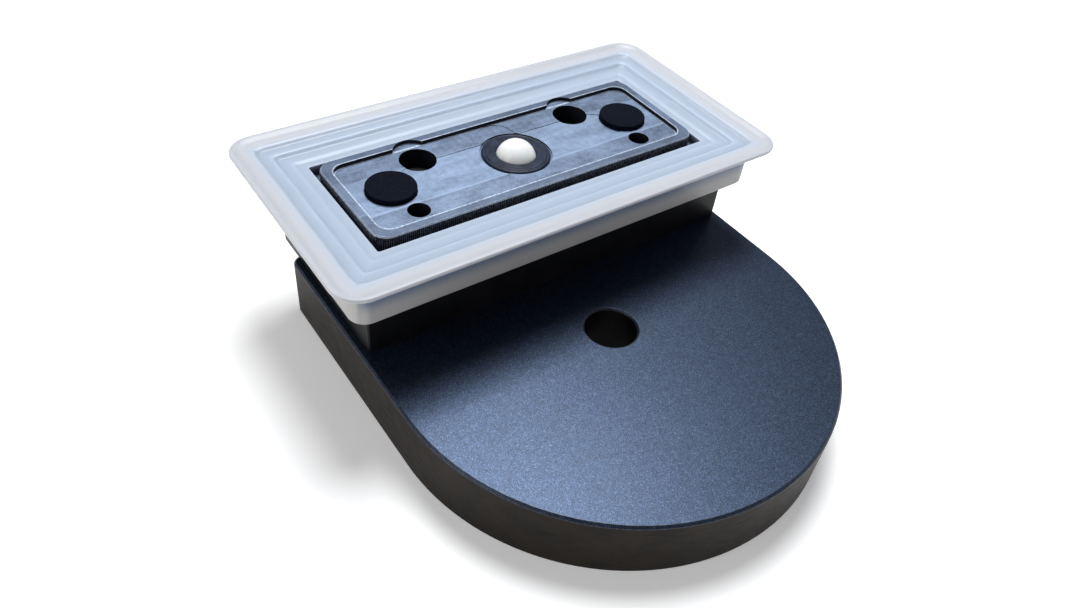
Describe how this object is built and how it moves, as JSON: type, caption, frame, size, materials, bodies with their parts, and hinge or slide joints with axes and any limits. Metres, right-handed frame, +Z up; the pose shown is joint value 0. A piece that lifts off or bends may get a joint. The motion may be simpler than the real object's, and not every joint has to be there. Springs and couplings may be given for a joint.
{
  "type": "vacuum mounting block",
  "caption": "Rectangular silicone suction cup with a ball-operated valve, on a riser bar and a D-shaped bolt-down base plate, for holding a flat workpiece by vacuum.",
  "frame": {"origin": "centre of the bolt hole, on the underside of the base plate", "axes": "+Z up towards the workpiece, +X along the suction cup, +Y from the round nose of the plate to the cup"},
  "size_m": [0.113, 0.1196, 0.0393],
  "materials": {
    "blasted_anodised": "fine bead-blasted black anodising",
    "black_anodised": "milled black anodising",
    "milled_anodised": "dark grey anodising with cutter marks",
    "frosted_silicone": "frosted translucent silicone",
    "pad_rubber": "matt friction rubber",
    "valve_rubber": "satin black",
    "seal_rubber": "moulded black rubber",
    "guide_plastic": "moulded black plastic",
    "white_plastic": "polished white plastic",
    "spring_steel": "drawn stainless wire",
    "black_oxide_steel": "black oxide",
    "dowel_steel": "ground and hardened"
  },
  "bodies": {
    "block": {"base_plate": "blasted_anodised", "riser_block": "black_anodised", "suction_cup": "frosted_silicone", "core_plate": "milled_anodised", "valve_seat": "valve_rubber", "valve_seat_seal": "seal_rubber", "valve_guide": "guide_plastic", "gallery_seal": "seal_rubber", "friction_pad_left": "pad_rubber", "core_screw_left": "black_oxide_steel", "core_dowel_left": "dowel_steel", "riser_dowel_left": "dowel_steel", "friction_pad_right": "pad_rubber", "core_screw_right": "black_oxide_steel", "core_dowel_right": "dowel_steel", "riser_dowel_right": "dowel_steel", "riser_screw_1": "black_oxide_steel", "riser_screw_2": "black_oxide_steel", "riser_screw_3": "black_oxide_steel", "riser_screw_4": "black_oxide_steel"},
    "ball": {"valve_ball": "white_plastic", "valve_spring": "spring_steel"}
  },
  "joints": [
    {"name": "ball_push", "type": "slide", "parent": "block", "child": "ball", "axis": [0, 0, -1], "range_m": [0, 0.002], "stiffness_N_per_m": 300, "springref_m": -0.003, "deforming": ["valve_spring"]}
  ]
}
